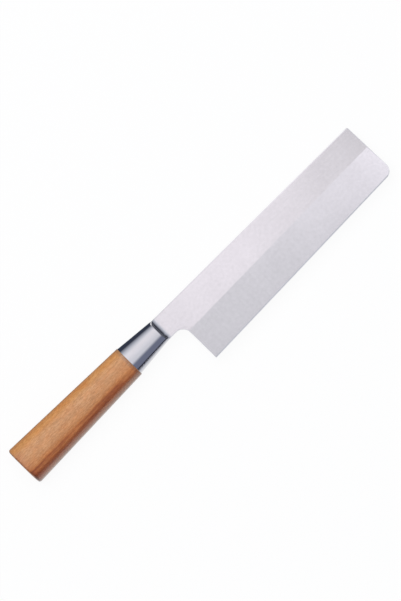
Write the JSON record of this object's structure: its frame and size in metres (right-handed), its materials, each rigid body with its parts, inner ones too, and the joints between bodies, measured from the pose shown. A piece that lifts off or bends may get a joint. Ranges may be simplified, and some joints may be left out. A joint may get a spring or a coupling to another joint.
{
  "type": "usuba knife",
  "caption": "Rectangular vegetable knife: flat upper faces, wide ground bevels, coved polished bolster and a tapering ridged bamboo handle on a hidden tang.",
  "frame": {"origin": "bottom centre of the knife's box, with the knife on its left side and the blade level", "axes": "+X from the butt to the tip, +Y from the cutting edge to the spine, +Z out of the blade's right face"},
  "size_m": [0.3034, 0.052, 0.0203],
  "materials": {
    "blade_steel": "fine satin grind",
    "polished_steel": "mirror polish",
    "bamboo": "satin lacquer over laminated bamboo",
    "cured_resin": "cast, hidden"
  },
  "bodies": {
    "root": {"blade": "blade_steel", "bolster": "polished_steel", "handle": "bamboo", "tang_resin_fill": "cured_resin"}
  },
  "joints": []
}
